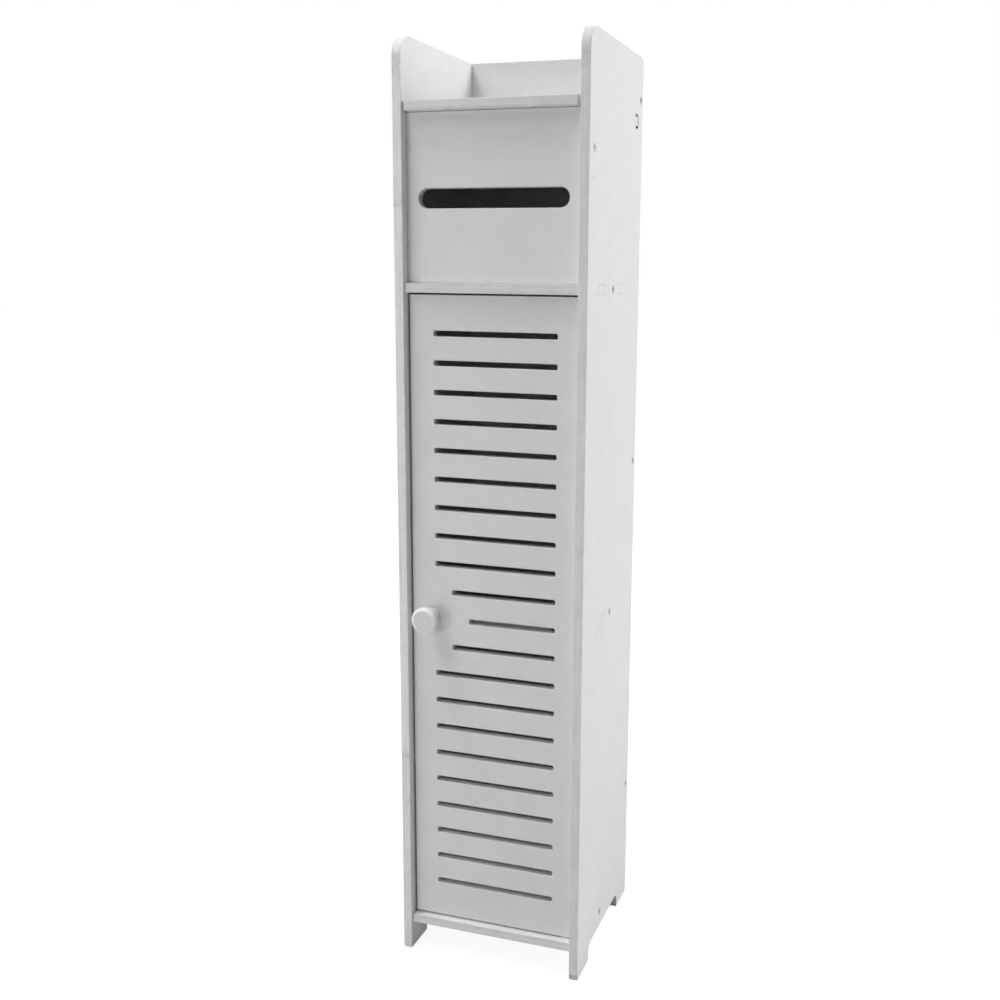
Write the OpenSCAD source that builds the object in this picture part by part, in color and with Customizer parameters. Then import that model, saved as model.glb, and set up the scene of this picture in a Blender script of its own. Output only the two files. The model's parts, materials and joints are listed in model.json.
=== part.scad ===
// Narrow floor-standing storage cabinet for toilet rolls, cut from 8 mm foamed board.
// Millimetres. +Z is up, the front faces -Y, and the origin lies on the floor under the
// middle of the whole, knob included. "From the front" means from the side panels' front edges.

/* [Carcass] */
// Overall width across the two side panels
body_w = 167; // [150:1:220]
// Depth of the side panels, front edge to rear edge
body_d = 165; // [155:1:220]
// Overall height, floor to the top of the side panels
body_h = 800; // [760:1:900]
// Thickness of every board
board_t = 8; // [7:0.5:10]
// Radius of the side panels' front top corners
side_front_r = 18; // [4:1:24]
// Radius of the side panels' rear top corners
side_rear_r = 6; // [1:0.5:10]
// How far the back panel stands in from the side panels' rear edges
back_inset = 4; // [0:0.5:6]
// Floor to the lower edge of the back panel
back_lift = 15; // [10:1:20]

/* [Feet] */
// Length of each foot along the side panel
foot_l = 34; // [20:1:50]
// Height of the arch between the feet
arch_h = 14.5; // [10:0.5:18]
// Radius of the arch's upper corners
arch_r = 8; // [1:0.5:9]

/* [Levels] */
// Floor to the underside of the bottom board
bottom_lift = 25; // [24:1:40]
// Clear height of the tissue compartment, mid shelf to lid
tissue_bay_h = 136.5; // [110:0.5:180]
// Height of the side panels above the lid
gallery_h = 52; // [30:0.5:90]
// How far the bottom board and mid shelf stand back from the front
board_recess = 2.5; // [1:0.5:6]

/* [Tenons] */
// Play between a tenon and its mortise, on each side
tenon_play = 0.1; // [0.05:0.05:0.2]
// Length of the mid shelf's side tenons
shelf_tenon_l = 26; // [15:1:32]
// Centre of the mid shelf's front tenons, from the front
tenon_front_y = 39; // [30:1:50]
// Centre of the mid shelf's rear tenons, from the front
tenon_rear_y = 106; // [100:1:125]
// Width of the tenon at the rear of each board
rear_tenon_w = 40; // [20:1:70]
// Height of the slot panel's side tenons
slot_tenon_h = 30; // [15:1:45]

/* [Tissue slot] */
// How far the slot panel stands back from the front
slot_panel_recess = 9; // [5:0.5:20]
// Length of the tissue slot
slot_l = 130; // [80:1:134]
// Height of the tissue slot
slot_h = 16; // [8:0.5:24]

/* [Lid] */
// How far the lid's front edge stands back from the front
lid_recess = 0.5; // [0:0.5:6]
// Gap between the lid and each side panel
lid_gap = 1.8; // [0.5:0.1:3]
// Gap under the closed lid
lid_seat_gap = 0.3; // [0.2:0.1:1]
// Lid pivot to the back panel's front face
lid_pivot_back = 8.5; // [8.5:0.5:14]
// How far the lid reaches behind its pivot
lid_tail = 7; // [6.5:0.5:7]
// Depth of the lid's pivot tabs, front to rear
lid_tab_d = 10; // [8:0.5:12]
// How much thinner than the lid a tab is, on each face
tab_relief = 0.1; // [0.05:0.05:0.5]
// Radial play between the corners of a pivot tab and its hole
lid_pivot_play = 0.08; // [0.05:0.01:0.1]
// How far the tab ends lie under the outer faces
lid_tab_under = 0.2; // [0.1:0.1:1]

/* [Door] */
// How far the door's face stands back from the front
door_recess = 8.5; // [6:0.5:12]
// Gap between the door and each side panel
door_side_gap = 1.5; // [1.5:0.1:2.5]
// Gap over and under the door
door_end_gap = 1.5; // [1.3:0.1:4]
// Door pivot to the right side panel's inner face
door_pivot_in = 8; // [8:0.1:9]

/* [Louvres] */
// Distance from one slot to the next
louvre_pitch = 24.7; // [16:0.05:25]
// Height of a slot
louvre_h = 4.8; // [3:0.1:8]
// Corner radius of a slot
louvre_r = 1.5; // [0.5:0.1:1.5]
// Door's top edge to the first slot
louvre_top = 29.5; // [20:0.5:40]
// Least distance from the last slot to the door's bottom edge
louvre_bottom = 25; // [15:0.5:40]
// Door's free edge to the full slots
louvre_left = 21.5; // [12:0.5:30]
// Door's pivot edge to the slots
louvre_right = 17.5; // [12:0.5:30]
// How much each of the slots beside the knob is shortened, one step at a time
louvre_step = 15.5; // [8:0.5:20]

/* [Knob] */
// Door's free edge to the knob's centre
knob_in = 18.2; // [14:0.1:24]
// Knob's centre above the middle slot's centre line
knob_raise = 2.5; // [0:0.1:3]
// Diameter of the knob's head
knob_d = 23.5; // [18:0.5:30]
// Diameter of the knob's foot, on the door
knob_foot_d = 15; // [12:0.5:18]
// Diameter of the knob's neck
knob_neck_d = 11; // [9:0.5:12]
// How far the knob stands out from the door
knob_l = 20.5; // [16:0.5:30]
// Thickness of the knob's head at its edge
knob_head_t = 6; // [5:0.5:8]
// Radius of the edge round the knob's head
knob_edge_r = 2.6; // [1:0.1:2.9]

/* [Inner shelf] */
// Gap between the knob screw's head, on the door's back, and the inner shelf
shelf_door_gap = 0.5; // [0.3:0.1:3]
// Width of the notch that clears the door's pivot edge
shelf_notch_w = 25; // [17:1:40]
// Depth of that notch
shelf_notch_d = 5; // [4:0.5:10]

/* [Fasteners] */
// Diameter of a side screw's head
screw_head_d = 6.4; // [5:0.1:8]
// Height of a side screw's countersunk head
screw_head_h = 1.9; // [1.5:0.1:3]
// Diameter of a side screw's shank
screw_d = 3; // [2.5:0.1:3.5]
// Length of a side screw
screw_l = 25; // [16:1:40]
// How far a side screw's head lies under the board's face
screw_sink = 0.2; // [0.1:0.1:0.6]
// Play round a screw in its hole
screw_play = 0.05; // [0.02:0.01:0.1]
// Arm length of a screw's cross recess, across
cross_l = 3.6; // [2:0.1:4]
// Arm width of a screw's cross recess
cross_w = 0.9; // [0.6:0.1:1.2]
// Depth of a screw's cross recess
cross_depth = 1.2; // [0.6:0.1:1.4]
// Slot panel's top edge to its screws
slot_screw_drop = 30.5; // [20:0.5:50]
// Mid shelf's screws, from the front
mid_screw_y = 76; // [60:1:90]
// Inner shelf's screws, from the front
inner_screw_y = 84; // [60:1:110]
// Bottom board's screws, from the front
bottom_screw_y = 69; // [40:1:110]
// Top of the back panel to its first screws
back_screw_drop = 37; // [20:1:50]
// Floor to the back panel's last screws
back_screw_lift = 118; // [60:1:150]
// Number of screws down each edge of the back panel
back_screw_count = 3; // [2:1:3]
// Diameter of the knob's screw
knob_screw_d = 4; // [3:0.5:4]
// How far the knob's screw reaches into the knob
knob_screw_in = 12; // [8:0.5:14]
// Diameter of the knob screw's head
knob_screw_head_d = 8; // [6:0.5:10]
// Height of the knob screw's head
knob_screw_head_h = 0.8; // [0.6:0.1:2]

/* [Door pivots] */
// Diameter of the pivot pins
pin_d = 4; // [3:0.5:5]
// How far a pin reaches into the door
pin_in_door = 14; // [8:1:20]
// How far a pin reaches into a board
pin_in_board = 5; // [3:0.5:5.5]
// Radial play of a pin in its board
pin_play = 0.06; // [0.02:0.01:0.1]
// Gap past the end of a pin
pin_end_gap = 0.4; // [0.3:0.1:1]
// Outer diameter of the washer under the door
washer_d = 7.6; // [7:0.2:10]
// Radial play of the pin in the washer
washer_play = 0.2; // [0.1:0.1:0.4]
// Gap between the washer and the door
washer_gap = 0.3; // [0.2:0.1:0.6]

/* [Hidden] */
$fn = 64;
// Overlap that makes a cut run cleanly past a face
over = 1;
knob_out = knob_l - door_recess;
front_y = (knob_out - body_d) / 2;
rear_y = front_y + body_d;
side_in = body_w / 2 - board_t;
back_y = rear_y - back_inset - board_t;
back_w = 2 * side_in;
side_centre_x = side_in + board_t / 2;
bottom_z = bottom_lift;
bay_z = bottom_z + board_t;
lid_z = body_h - gallery_h - board_t;
tissue_z = lid_z - tissue_bay_h;
mid_z = tissue_z - board_t;
bay_h = mid_z - bay_z;
inner_z = bay_z + (bay_h - board_t) / 2;
slot_panel_h = tissue_bay_h - lid_seat_gap;
slot_mid_z = tissue_z + slot_panel_h / 2;
slot_panel_y = front_y + slot_panel_recess;
board_y = front_y + board_recess;
door_y = front_y + door_recess;
door_w = back_w - 2 * door_side_gap;
door_h = bay_h - 2 * door_end_gap;
door_z = bay_z + door_end_gap;
door_top = door_z + door_h;
inner_y = door_y + board_t + knob_screw_head_h + shelf_door_gap;
pivot_x = side_in - door_pivot_in;
pivot_y = door_y + board_t / 2;
lid_pivot_y = back_y - lid_pivot_back;
lid_pivot_z = lid_z + board_t / 2;
lid_front_y = front_y + lid_recess;
lid_w = back_w - 2 * lid_gap;
tab_t = board_t - 2 * tab_relief;
lid_tab_r = norm([lid_tab_d, tab_t]) / 2;
louvre_run = door_h - louvre_top - louvre_bottom - louvre_h;
louvre_mid = floor(louvre_run / louvre_pitch / 2);
louvre_count = 2 * louvre_mid + 1;
louvre_full_l = door_w - louvre_left - louvre_right;
louvre_right_x = door_w / 2 - louvre_right;
knob_x = knob_in - door_w / 2;
knob_z = louvre_z(louvre_mid) + knob_raise;
back_centre_y = back_y + board_t / 2;
back_screw_pitch = (body_h - back_screw_drop - back_screw_lift) / (back_screw_count - 1);
slot_screw_z = tissue_z + slot_panel_h - slot_screw_drop;
washer_t = door_end_gap - washer_gap;

// Centre line of one louvre slot, counted down from the top
function louvre_z(i) = door_top - louvre_top - louvre_h / 2 - i * louvre_pitch;
// Steps by which a slot is shortened to leave room for the knob
function louvre_steps(i) = max(0, 2 - abs(i - louvre_mid));
// Height of one of the back panel's screws
function back_screw_z(i) = body_h - back_screw_drop - i * back_screw_pitch;

// What a rounded corner takes off, with the corner at the origin and the sheet in +X +Y
module corner_cut(r) {
    difference() {
        translate([-over, -over]) square(r + over);
        translate([r, r]) circle(r);
    }
}

// Rectangle with round corners, centred
module round_rect(w, h, r) {
    square([w - 2 * r, h], center = true);
    square([w, h - 2 * r], center = true);
    for (sx = [-1, 1], sy = [-1, 1])
        translate([sx * (w / 2 - r), sy * (h / 2 - r)]) circle(r);
}

// Slot with fully round ends, centred
module stadium(l, h) {
    square([l - h, h], center = true);
    for (s = [-1, 1]) translate([s * (l - h) / 2, 0]) circle(h / 2);
}

// Upright sheet whose outline is drawn in X and Z, from y to y + thick
module upright(y, thick) {
    translate([0, y + thick, 0]) rotate([90, 0, 0]) linear_extrude(thick) children();
}

// Board with a tenon at its rear edge that goes through the back panel
module rear_tenon_board(y, z) {
    translate([-side_in, y, z]) cube([back_w, back_y - y, board_t]);
    within_body() rear_tenon(z, tenon_play);
}

// Tenon through the back panel, less its play, or its mortise
module rear_tenon(z, play = 0) {
    translate([0, back_y + board_t / 2, z + board_t / 2])
        cube([rear_tenon_w - 2 * play, board_t + 2 * over, board_t - 2 * play], center = true);
}

// Mid shelf's tenons on one side, less their play, or their mortises
module shelf_tenons(side, play = 0) {
    for (y = [tenon_front_y, tenon_rear_y])
        translate([side * side_centre_x, front_y + y, mid_z + board_t / 2])
            cube([board_t + 2 * over, shelf_tenon_l - 2 * play, board_t - 2 * play], center = true);
}

// Slot panel's tenon on one side, less its play, or its mortise
module slot_tenon(side, play = 0) {
    translate([side * side_centre_x, slot_panel_y + board_t / 2, slot_mid_z])
        cube([board_t + 2 * over, board_t - 2 * play, slot_tenon_h - 2 * play], center = true);
}

// Keeps what lies between the outer faces of the cabinet
module within_body() {
    intersection() {
        children();
        translate([-body_w / 2, front_y, 0]) cube([body_w, back_y + board_t - front_y, body_h]);
    }
}

// Side screw with its head outwards in +Z at the origin, the board's face
module side_screw() {
    shank_r = screw_d / 2;
    head_r = screw_head_d / 2;
    difference() {
        rotate_extrude() polygon([[0, -screw_l], [shank_r, screw_d - screw_l],
            [shank_r, -screw_sink - screw_head_h], [head_r, -screw_sink], [0, -screw_sink]]);
        for (a = [0, 90]) rotate([0, 0, a])
            translate([0, 0, over / 2 - screw_sink - cross_depth / 2])
                cube([cross_l, cross_w, cross_depth + over], center = true);
    }
}

// Countersunk hole for a side screw
module side_screw_hole() {
    shank_r = screw_d / 2 + screw_play;
    head_r = screw_head_d / 2 + screw_play;
    rotate_extrude() polygon([[0, -screw_l - screw_play], [shank_r, -screw_l - screw_play],
        [shank_r, -screw_sink - screw_head_h], [head_r, -screw_sink], [head_r, over], [0, over]]);
}

// Puts a screw or its hole on the outer face of one side panel
module on_side(side, y, z) {
    translate([side * body_w / 2, y, z]) rotate([0, side * 90, 0]) children();
}

module slot_screw_at(side) {
    on_side(side, slot_panel_y + board_t / 2, slot_screw_z) children();
}

module mid_screw_at(side) {
    on_side(side, front_y + mid_screw_y, mid_z + board_t / 2) children();
}

module inner_screw_at(side) {
    on_side(side, front_y + inner_screw_y, inner_z + board_t / 2) children();
}

module bottom_screw_at(side) {
    on_side(side, front_y + bottom_screw_y, bottom_z + board_t / 2) children();
}

module back_screws_at(side) {
    for (i = [0 : back_screw_count - 1])
        on_side(side, back_centre_y, back_screw_z(i)) children();
}

// Side panel's outline, drawn with the depth in X and the height in Y
module side_outline() {
    difference() {
        translate([front_y, 0]) square([body_d, body_h]);
        translate([front_y, body_h]) rotate(-90) corner_cut(side_front_r);
        translate([rear_y, body_h]) rotate(180) corner_cut(side_rear_r);
        difference() {
            translate([front_y + foot_l, -over]) square([body_d - 2 * foot_l, arch_h + over]);
            translate([front_y + foot_l, arch_h]) rotate(-90) corner_cut(arch_r);
            translate([rear_y - foot_l, arch_h]) rotate(180) corner_cut(arch_r);
        }
    }
}

module side_panel(side) {
    difference() {
        translate([side > 0 ? side_in : -body_w / 2, 0, 0])
            rotate([90, 0, 90]) linear_extrude(board_t) side_outline();
        shelf_tenons(side);
        slot_tenon(side);
        translate([side * side_centre_x, lid_pivot_y, lid_pivot_z]) rotate([0, 90, 0])
            cylinder(r = lid_tab_r + lid_pivot_play, h = board_t + 2 * over, center = true);
        slot_screw_at(side) side_screw_hole();
        mid_screw_at(side) side_screw_hole();
        inner_screw_at(side) side_screw_hole();
        bottom_screw_at(side) side_screw_hole();
        back_screws_at(side) side_screw_hole();
    }
}

module left_side_panel() { color("whitesmoke") side_panel(-1); }

module right_side_panel() { color("whitesmoke") side_panel(1); }

module back_panel() {
    color("whitesmoke") difference() {
        translate([-side_in, back_y, back_lift]) cube([back_w, board_t, body_h - back_lift]);
        for (z = [bottom_z, inner_z, mid_z]) rear_tenon(z);
        for (side = [-1, 1]) back_screws_at(side) side_screw_hole();
    }
}

module slot_panel() {
    color("whitesmoke") difference() {
        union() {
            upright(slot_panel_y, board_t)
                translate([-side_in, tissue_z]) square([back_w, slot_panel_h]);
            within_body() for (side = [-1, 1]) slot_tenon(side, tenon_play);
        }
        upright(slot_panel_y - over, board_t + 2 * over)
            translate([0, slot_mid_z]) stadium(slot_l, slot_h);
        for (side = [-1, 1]) slot_screw_at(side) side_screw_hole();
    }
}

module mid_shelf() {
    color("whitesmoke") difference() {
        union() {
            rear_tenon_board(board_y, mid_z);
            within_body() for (side = [-1, 1]) shelf_tenons(side, tenon_play);
        }
        for (side = [-1, 1]) mid_screw_at(side) side_screw_hole();
        translate([pivot_x, pivot_y, mid_z - over])
            cylinder(d = pin_d + 2 * pin_play, h = pin_in_board + pin_end_gap + over);
    }
}

module inner_shelf() {
    color("whitesmoke") difference() {
        rear_tenon_board(inner_y, inner_z);
        translate([side_in - shelf_notch_w, inner_y - over, inner_z - over])
            cube([shelf_notch_w + over, shelf_notch_d + over, board_t + 2 * over]);
        for (side = [-1, 1]) inner_screw_at(side) side_screw_hole();
    }
}

module bottom_board() {
    color("whitesmoke") difference() {
        rear_tenon_board(board_y, bottom_z);
        for (side = [-1, 1]) bottom_screw_at(side) side_screw_hole();
        translate([pivot_x, pivot_y, bay_z - pin_in_board - pin_end_gap])
            cylinder(d = pin_d + 2 * pin_play, h = pin_in_board + pin_end_gap + over);
    }
}

module lid() {
    tab_l = lid_gap + board_t - lid_tab_under;
    color("whitesmoke") {
        translate([-lid_w / 2, lid_front_y, lid_z])
            cube([lid_w, lid_pivot_y + lid_tail - lid_front_y, board_t]);
        for (side = [-1, 1])
            translate([side * (lid_w / 2 + (tab_l - over) / 2), lid_pivot_y, lid_pivot_z])
                cube([tab_l + over, lid_tab_d, tab_t], center = true);
    }
}

// One louvre slot's outline, in X and Z
module louvre(i) {
    slot_len = louvre_full_l - louvre_steps(i) * louvre_step;
    translate([louvre_right_x - slot_len / 2, louvre_z(i)])
        round_rect(slot_len, louvre_h, louvre_r);
}

module door() {
    color("whitesmoke") difference() {
        upright(door_y, board_t) difference() {
            translate([-door_w / 2, door_z]) square([door_w, door_h]);
            for (i = [0 : louvre_count - 1]) louvre(i);
        }
        translate([knob_x, door_y - over, knob_z]) rotate([-90, 0, 0])
            cylinder(d = knob_screw_d, h = board_t + 2 * over);
        for (z = [door_z - over, door_top - pin_in_door])
            translate([pivot_x, pivot_y, z]) cylinder(d = pin_d, h = pin_in_door + over);
    }
}

module door_pin_upper() {
    color("silver") translate([pivot_x, pivot_y, door_top - pin_in_door])
        cylinder(d = pin_d, h = pin_in_door + door_end_gap + pin_in_board);
}

module door_pin_lower() {
    color("silver") translate([pivot_x, pivot_y, bay_z - pin_in_board])
        cylinder(d = pin_d, h = pin_in_door + door_end_gap + pin_in_board);
}

module door_washer() {
    color("white") translate([pivot_x, pivot_y, bay_z]) difference() {
        cylinder(d = washer_d, h = washer_t);
        translate([0, 0, -over]) cylinder(d = pin_d + 2 * washer_play, h = washer_t + 2 * over);
    }
}

// Half section of the knob: radius in X, height off the door in Y
module knob_section() {
    head_r = knob_d / 2;
    head_y = knob_l - knob_head_t;
    square([head_r - knob_edge_r, knob_l]);
    translate([0, head_y + knob_edge_r]) square([head_r, knob_head_t - 2 * knob_edge_r]);
    for (y = [head_y + knob_edge_r, knob_l - knob_edge_r])
        translate([head_r - knob_edge_r, y]) circle(knob_edge_r);
}

// What the waist round the knob's neck takes off
module knob_waist() {
    waist_l = knob_l - knob_head_t;
    translate([knob_neck_d / 2 + waist_l / 2, waist_l / 2]) circle(waist_l / 2);
    translate([knob_foot_d / 2, -over]) square([knob_d, waist_l / 2 + over]);
}

module knob() {
    color("white") difference() {
        translate([knob_x, door_y, knob_z]) rotate([90, 0, 0])
            rotate_extrude() difference() {
                knob_section();
                knob_waist();
            }
        translate([knob_x, door_y - knob_screw_in, knob_z]) rotate([-90, 0, 0])
            cylinder(d = knob_screw_d, h = knob_screw_in + over);
    }
}

module knob_screw() {
    head_y = door_y + board_t;
    color("silver") difference() {
        translate([knob_x, head_y, knob_z]) rotate([90, 0, 0]) {
            cylinder(d = knob_screw_d, h = board_t + knob_screw_in);
            translate([0, 0, -knob_screw_head_h])
                cylinder(d = knob_screw_head_d, h = knob_screw_head_h);
        }
        for (a = [0, 90])
            translate([knob_x, head_y + knob_screw_head_h, knob_z]) rotate([0, a, 0])
                cube([cross_l, knob_screw_head_h, cross_w], center = true);
    }
}

module slot_panel_screw_left() { color("silver") slot_screw_at(-1) side_screw(); }

module slot_panel_screw_right() { color("silver") slot_screw_at(1) side_screw(); }

module mid_shelf_screw_left() { color("silver") mid_screw_at(-1) side_screw(); }

module mid_shelf_screw_right() { color("silver") mid_screw_at(1) side_screw(); }

module inner_shelf_screw_left() { color("silver") inner_screw_at(-1) side_screw(); }

module inner_shelf_screw_right() { color("silver") inner_screw_at(1) side_screw(); }

module bottom_board_screw_left() { color("silver") bottom_screw_at(-1) side_screw(); }

module bottom_board_screw_right() { color("silver") bottom_screw_at(1) side_screw(); }

module back_panel_screws_left() { color("silver") back_screws_at(-1) side_screw(); }

module back_panel_screws_right() { color("silver") back_screws_at(1) side_screw(); }

left_side_panel();
right_side_panel();
back_panel();
slot_panel();
mid_shelf();
inner_shelf();
bottom_board();
lid();
door();
door_pin_upper();
door_pin_lower();
door_washer();
knob();
knob_screw();
slot_panel_screw_left();
slot_panel_screw_right();
mid_shelf_screw_left();
mid_shelf_screw_right();
inner_shelf_screw_left();
inner_shelf_screw_right();
bottom_board_screw_left();
bottom_board_screw_right();
back_panel_screws_left();
back_panel_screws_right();
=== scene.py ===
import json
import math

import bmesh
import bpy
from mathutils import Matrix, Vector
from mathutils.geometry import tessellate_polygon

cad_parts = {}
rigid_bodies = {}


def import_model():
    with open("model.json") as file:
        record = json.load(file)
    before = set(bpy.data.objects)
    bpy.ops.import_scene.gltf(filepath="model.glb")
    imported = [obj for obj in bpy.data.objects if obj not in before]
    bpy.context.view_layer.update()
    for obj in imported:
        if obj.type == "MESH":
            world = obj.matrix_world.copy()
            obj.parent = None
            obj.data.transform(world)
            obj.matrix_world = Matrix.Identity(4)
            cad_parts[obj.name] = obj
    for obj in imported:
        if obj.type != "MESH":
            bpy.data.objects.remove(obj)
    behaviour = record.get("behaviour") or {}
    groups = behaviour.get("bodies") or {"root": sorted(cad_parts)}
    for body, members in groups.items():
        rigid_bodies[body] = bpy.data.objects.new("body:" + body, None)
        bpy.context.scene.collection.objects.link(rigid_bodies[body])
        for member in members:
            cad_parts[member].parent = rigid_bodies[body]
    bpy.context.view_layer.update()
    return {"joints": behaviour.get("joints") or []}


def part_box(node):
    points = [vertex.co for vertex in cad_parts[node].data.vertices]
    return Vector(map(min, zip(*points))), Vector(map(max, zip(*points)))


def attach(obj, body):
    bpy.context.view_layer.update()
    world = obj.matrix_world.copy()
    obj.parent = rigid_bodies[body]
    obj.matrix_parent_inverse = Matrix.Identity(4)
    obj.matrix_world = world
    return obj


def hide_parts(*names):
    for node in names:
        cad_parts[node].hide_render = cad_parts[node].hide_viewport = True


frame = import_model()
mm = 0.001


def size(node, axis):
    low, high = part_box(node)
    return high[axis] - low[axis]


def centre(node):
    low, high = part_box(node)
    return Vector([(a + b) / 2 for a, b in zip(low, high)])


# shader helpers: a value given to a node is linked where it is a socket, and set where it is plain

def feed(tree, node, inputs):
    for key, value in inputs.items():
        if isinstance(value, bpy.types.NodeSocket):
            tree.links.new(value, node.inputs[key])
        else:
            node.inputs[key].default_value = value


def addNode(tree, kind, inputs=None, **settings):
    node = tree.nodes.new(kind)
    for key, value in settings.items():
        setattr(node, key, value)
    feed(tree, node, inputs or {})
    return node


def newGroup(name, inputs, outputs):
    group = bpy.data.node_groups.new(name, "ShaderNodeTree")
    for label, kind, value in inputs:
        socket = group.interface.new_socket(label, in_out="INPUT", socket_type="NodeSocket" + kind)
        if value is not None:
            socket.default_value = value
    for label, kind in outputs:
        group.interface.new_socket(label, in_out="OUTPUT", socket_type="NodeSocket" + kind)
    return group, group.nodes.new("NodeGroupInput").outputs, group.nodes.new("NodeGroupOutput").inputs


def mathNode(tree, operation, a, b=0.0, clamp=False):
    return addNode(tree, "ShaderNodeMath", {0: a, 1: b}, operation=operation, use_clamp=clamp).outputs[0]


def vectorMath(tree, operation, inputs, output="Vector"):
    return addNode(tree, "ShaderNodeVectorMath", inputs, operation=operation).outputs[output]


def mapRange(tree, value, low, high, outLow=0.0, outHigh=1.0, smooth=False):
    ends = {"Value": value, "From Min": low, "From Max": high, "To Min": outLow, "To Max": outHigh}
    shape = "SMOOTHSTEP" if smooth else "LINEAR"
    return addNode(tree, "ShaderNodeMapRange", ends, interpolation_type=shape).outputs["Result"]


def noise(tree, vector, scale, detail=2.0, roughness=0.5):
    settings = {"Vector": vector, "Scale": scale, "Detail": detail, "Roughness": roughness}
    return addNode(tree, "ShaderNodeTexNoise", settings).outputs["Fac"]


def mixColour(tree, factor, a, b):
    colourInputs = {0: factor, 6: a, 7: b}
    return addNode(tree, "ShaderNodeMix", colourInputs, data_type="RGBA").outputs[2]


def toned(tree, colour, tone):
    return vectorMath(tree, "SCALE", {0: colour, "Scale": tone})


def heightOf(tree, place):
    return addNode(tree, "ShaderNodeSeparateXYZ", {0: place}).outputs["Z"]


def objectPlace(tree):
    return addNode(tree, "ShaderNodeTexCoord").outputs["Object"]


def shifted(tree, place, offset):
    return addNode(tree, "ShaderNodeMapping", {"Vector": place, "Location": offset}).outputs["Vector"]


def rimValue(tree):
    return addNode(tree, "ShaderNodeAttribute", attribute_name="rim").outputs["Fac"]


def bumped(tree, height, strength, distance):
    settings = {"Strength": strength, "Distance": distance, "Height": height}
    return addNode(tree, "ShaderNodeBump", settings).outputs["Normal"]


# surface effects that the materials share

def makeSkinGrain():
    # faint orange peel of the rolled skin, as a height
    group, given, out = newGroup("skinGrain", [("Vector", "Vector", None), ("Peel Scale", "Float", 900.0),
                                               ("Wave Scale", "Float", 16.0)], [("Height", "Float")])
    fine = noise(group, given["Vector"], given["Peel Scale"], 2.0)
    wave = noise(group, given["Vector"], given["Wave Scale"], 1.0)
    broad = mathNode(group, "MULTIPLY", wave, 3.0)
    group.links.new(mathNode(group, "ADD", fine, broad), out["Height"])
    return group


def makeHandling():
    # cloudy variation that wiping and handling leave, around 1
    group, given, out = newGroup("handling", [("Vector", "Vector", None), ("Scale", "Float", 9.0),
                                              ("Amount", "Float", 0.03)], [("Tone", "Float")])
    cloud = noise(group, given["Vector"], given["Scale"], 6.0, 0.7)
    centred = mathNode(group, "SUBTRACT", cloud, 0.5)
    scaled = mathNode(group, "MULTIPLY", centred, given["Amount"])
    doubled = mathNode(group, "MULTIPLY", scaled, 2.0)
    group.links.new(mathNode(group, "ADD", doubled, 1.0), out["Tone"])
    return group


def makeSawnEdge():
    # tool lines and open cells of a cut edge; Stretch is large across the lines
    group, given, out = newGroup("sawnEdge", [("Vector", "Vector", None), ("Stretch", "Vector", (1, 1, 1)),
                                              ("Cell Scale", "Float", 1500.0)],
                                 [("Height", "Float"), ("Tint", "Float")])
    stretched = vectorMath(group, "MULTIPLY", {0: given["Vector"], 1: given["Stretch"]})
    lines = noise(group, stretched, 1.0, 3.0, 0.65)
    cells = addNode(group, "ShaderNodeTexVoronoi", {"Vector": given["Vector"], "Scale": given["Cell Scale"]})
    pits = mapRange(group, cells.outputs["Distance"], 0.0, 0.45)
    lifted = mathNode(group, "MULTIPLY", pits, 0.35)
    group.links.new(mathNode(group, "ADD", lines, lifted), out["Height"])
    group.links.new(mapRange(group, lines, 0.3, 0.72), out["Tint"])
    return group


def makeSpecks():
    # sparse small dents and specks; Share is how many of the cells hold one
    group, given, out = newGroup("specks", [("Vector", "Vector", None), ("Scale", "Float", 120.0),
                                            ("Share", "Float", 0.04)], [("Mask", "Float")])
    cells = addNode(group, "ShaderNodeTexVoronoi", {"Vector": given["Vector"], "Scale": given["Scale"]})
    spot = mapRange(group, cells.outputs["Distance"], 0.16, 0.06)
    pick = addNode(group, "ShaderNodeSeparateColor", {0: cells.outputs["Color"]}).outputs[0]
    chosen = mathNode(group, "LESS_THAN", pick, given["Share"])
    group.links.new(mathNode(group, "MULTIPLY", spot, chosen, True), out["Mask"])
    return group


def makeRimDirt():
    # grey that gathers in breaks along edges, from the rim value on the mesh
    group, given, out = newGroup("rimDirt", [("Vector", "Vector", None), ("Rim", "Float", 0.0),
                                             ("Break Scale", "Float", 60.0)], [("Mask", "Float")])
    patches = mapRange(group, noise(group, given["Vector"], given["Break Scale"], 4.0, 0.6), 0.42, 0.68)
    near = mathNode(group, "POWER", given["Rim"], 1.6)
    group.links.new(mathNode(group, "MULTIPLY", patches, near, True), out["Mask"])
    return group


def makeNearFloorDark():
    # darker on the lowest part of the feet, fading up from the floor and broken by noise
    group, given, out = newGroup("nearFloorDark", [("Vector", "Vector", None), ("Reach", "Float", 0.02)],
                                 [("Mask", "Float")])
    share = mathNode(group, "DIVIDE", heightOf(group, given["Vector"]), given["Reach"])
    low = mapRange(group, share, 1.0, 0.0)
    squared = mathNode(group, "POWER", low, 2.0)
    broken = mapRange(group, noise(group, given["Vector"], 210.0, 4.0, 0.65), 0.35, 0.7)
    group.links.new(mathNode(group, "MULTIPLY", squared, broken, True), out["Mask"])
    return group


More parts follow.
